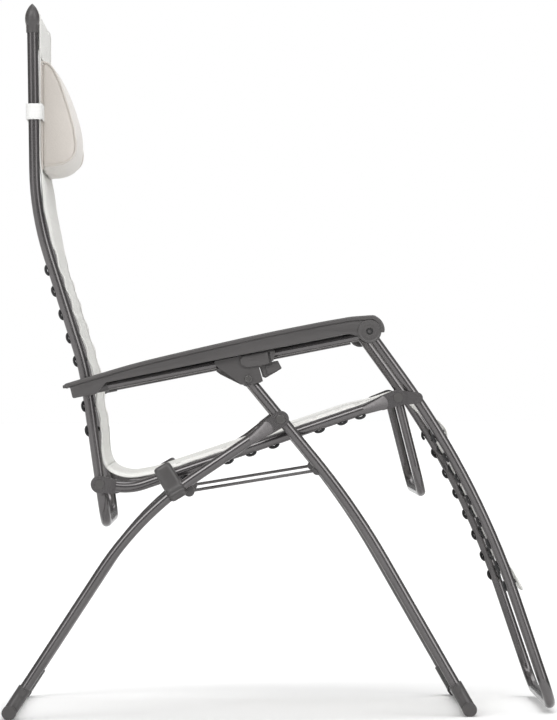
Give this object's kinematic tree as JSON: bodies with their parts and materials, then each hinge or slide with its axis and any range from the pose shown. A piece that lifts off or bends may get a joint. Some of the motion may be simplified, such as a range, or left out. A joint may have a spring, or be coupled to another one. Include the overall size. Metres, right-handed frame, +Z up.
{
  "type": "zero gravity recliner",
  "caption": "Folding camping recliner with a bent steel tube frame, laced fabric sling, sliding head pillow, lockable armrests and a linked reclining back, seat and legrest.",
  "frame": {"origin": "on the floor, under the middle of the chair's box", "axes": "+X is where the sitter faces, +Y is the sitter's left, +Z is up"},
  "size_m": [0.8738, 0.67, 1.128],
  "materials": {
    "tube_paint": "satin powder coat, dark warm grey",
    "moulded_plastic": "fine-grained moulded plastic, dark grey",
    "fastener_steel": "painted rivet and screw heads",
    "sling_mesh": "woven coated mesh, off-white",
    "lacing_cord": "black braided elastic cord",
    "pillow_cloth": "padded woven cloth, pale beige",
    "strap_elastic": "white ribbed elastic webbing"
  },
  "bodies": {
    "front_legs": {"front_leg_left": "tube_paint", "front_leg_right": "tube_paint", "front_floor_bar": "tube_paint", "front_foot_left": "moulded_plastic", "front_foot_right": "moulded_plastic", "leg_pivot_rivets": "fastener_steel", "stay_rod_lugs": "tube_paint"},
    "rear_legs": {"rear_leg_left": "tube_paint", "rear_leg_right": "tube_paint", "rear_floor_bar": "tube_paint", "rear_foot_left": "moulded_plastic", "rear_foot_right": "moulded_plastic"},
    "rear_clamps": {"rear_clamp_left": "moulded_plastic", "rear_clamp_right": "moulded_plastic"},
    "stay_rods": {"stay_rods": "tube_paint"},
    "seat_pins": {"seat_pivot_pins": "fastener_steel"},
    "seat": {"seat_rail_left": "tube_paint", "seat_rail_right": "tube_paint", "sling_seat": "sling_mesh", "lacing_seat": "lacing_cord"},
    "back_rivets": {"back_pivot_rivets": "fastener_steel", "sling_rear_corner": "sling_mesh"},
    "back": {"back_tube_left": "tube_paint", "back_tube_right": "tube_paint", "back_top_bar": "tube_paint", "back_lower_bar": "tube_paint", "back_corner_caps": "moulded_plastic", "sling_back": "sling_mesh", "lacing_back": "lacing_cord", "arm_rear_bushes": "moulded_plastic"},
    "pillow": {"pillow": "pillow_cloth", "pillow_strap": "strap_elastic"},
    "legrest_rivets": {"legrest_pivot_rivets": "fastener_steel", "sling_front_corner": "sling_mesh"},
    "legrest": {"legrest_tube_left": "tube_paint", "legrest_tube_right": "tube_paint", "legrest_bottom_bar": "tube_paint", "legrest_hinge_plates": "tube_paint", "calf_loop_left": "tube_paint", "calf_loop_right": "tube_paint", "calf_loop_bar": "tube_paint", "sling_legrest": "sling_mesh", "lacing_legrest": "lacing_cord"},
    "arm_screws": {"arm_pivot_screws": "fastener_steel"},
    "arms": {"armrest_left": "moulded_plastic", "armrest_right": "moulded_plastic", "arm_guide_tube_left": "tube_paint", "arm_guide_tube_right": "tube_paint", "arm_rear_rivets": "fastener_steel", "arm_spacers": "moulded_plastic"},
    "lock_slides": {"lock_slide_blocks": "moulded_plastic"},
    "lock_brackets": {"lock_bracket_left": "moulded_plastic", "lock_bracket_right": "moulded_plastic", "lock_bolts": "fastener_steel", "lock_lever_pins": "fastener_steel"},
    "lock_lever_left": {"lock_lever_left": "moulded_plastic"},
    "lock_lever_right": {"lock_lever_right": "moulded_plastic"}
  },
  "joints": [
    {"name": "frame_fold", "type": "hinge", "parent": "front_legs", "child": "rear_legs", "pos_m": [0.0028, 0, 0.4691], "axis": [0, 1, 0], "range_deg": [-65, 0]},
    {"name": "clamp_travel", "type": "hinge", "parent": "rear_legs", "child": "rear_clamps", "pos_m": [0.15419, 0, -0.05514], "axis": [0, 1, 0], "range_deg": [-13, 0.2]},
    {"name": "rod_swing", "type": "hinge", "parent": "front_legs", "child": "stay_rods", "pos_m": [0.06, 0, 0.388], "axis": [0, 1, 0], "range_deg": [-87, 1]},
    {"name": "seat_fold", "type": "hinge", "parent": "rear_clamps", "child": "seat_pins", "pos_m": [-0.1776, 0, 0.3794], "axis": [0, 1, 0], "range_deg": [-6.5, 0.2]},
    {"name": "seat_tilt", "type": "hinge", "parent": "seat_pins", "child": "seat", "pos_m": [-0.1776, 0, 0.3794], "axis": [0, -1, 0], "range_deg": [-0.2, 13]},
    {"name": "back_fold", "type": "hinge", "parent": "seat", "child": "back_rivets", "pos_m": [-0.2831, 0, 0.3675], "axis": [0, 1, 0], "range_deg": [-1, 57]},
    {"name": "back_recline", "type": "hinge", "parent": "back_rivets", "child": "back", "pos_m": [-0.2831, 0, 0.3675], "axis": [0, -1, 0], "range_deg": [0, 25]},
    {"name": "pillow_slide", "type": "slide", "parent": "back", "child": "pillow", "axis": [-0.0096, 0, 1], "range_m": [-0.06, 0.05]},
    {"name": "legrest_fold", "type": "hinge", "parent": "seat", "child": "legrest_rivets", "pos_m": [0.1886, 0, 0.5019], "axis": [0, 1, 0], "range_deg": [-1, 74]},
    {"name": "legrest_raise", "type": "hinge", "parent": "legrest_rivets", "child": "legrest", "pos_m": [0.1886, 0, 0.5019], "axis": [0, -1, 0], "range_deg": [-1, 42]},
    {"name": "arm_fold", "type": "hinge", "parent": "legrest", "child": "arm_screws", "pos_m": [0.1429, 0, 0.6061], "axis": [0, 1, 0], "range_deg": [-77, 1]},
    {"name": "arm_swing", "type": "hinge", "parent": "arm_screws", "child": "arms", "pos_m": [0.1429, 0, 0.6061], "axis": [0, -1, 0], "range_deg": [-47, 1]},
    {"name": "lock_slide", "type": "slide", "parent": "arms", "child": "lock_slides", "axis": [0.9824, 0, 0.187], "range_m": [-0.001, 0.095]},
    {"name": "lock_fold_slide", "type": "slide", "parent": "lock_slides", "child": "lock_brackets", "axis": [0.9824, 0, 0.187], "range_m": [-0.001, 0.103]},
    {"name": "left_lock_lever", "type": "hinge", "parent": "lock_brackets", "child": "lock_lever_left", "pos_m": [-0.02307, 0.303, 0.55862], "axis": [0, -1, 0], "range_deg": [0, 13], "stiffness_Nm_per_rad": 0.05, "springref_deg": -17.19},
    {"name": "right_lock_lever", "type": "hinge", "parent": "lock_brackets", "child": "lock_lever_right", "pos_m": [-0.02307, -0.303, 0.55862], "axis": [0, -1, 0], "range_deg": [0, 13], "stiffness_Nm_per_rad": 0.05, "springref_deg": -17.19}
  ],
  "couplings": [
    {"joint": "clamp_travel", "follows": "frame_fold", "ratio": 0.19231},
    {"joint": "rod_swing", "follows": "frame_fold", "ratio": 1.3169},
    {"joint": "seat_fold", "follows": "frame_fold", "ratio": 0.087692},
    {"joint": "back_fold", "follows": "frame_fold", "ratio": -0.86154},
    {"joint": "legrest_fold", "follows": "frame_fold", "ratio": -1.1215},
    {"joint": "arm_fold", "follows": "frame_fold", "ratio": 1.1631},
    {"joint": "lock_fold_slide", "follows": "frame_fold", "m_per_rad": -0.088941},
    {"joint": "seat_tilt", "follows": "back_recline", "ratio": 0.5},
    {"joint": "legrest_raise", "follows": "back_recline", "ratio": 1.64},
    {"joint": "arm_swing", "follows": "back_recline", "ratio": -1.82},
    {"joint": "lock_slide", "follows": "back_recline", "m_per_rad": 0.21314}
  ]
}
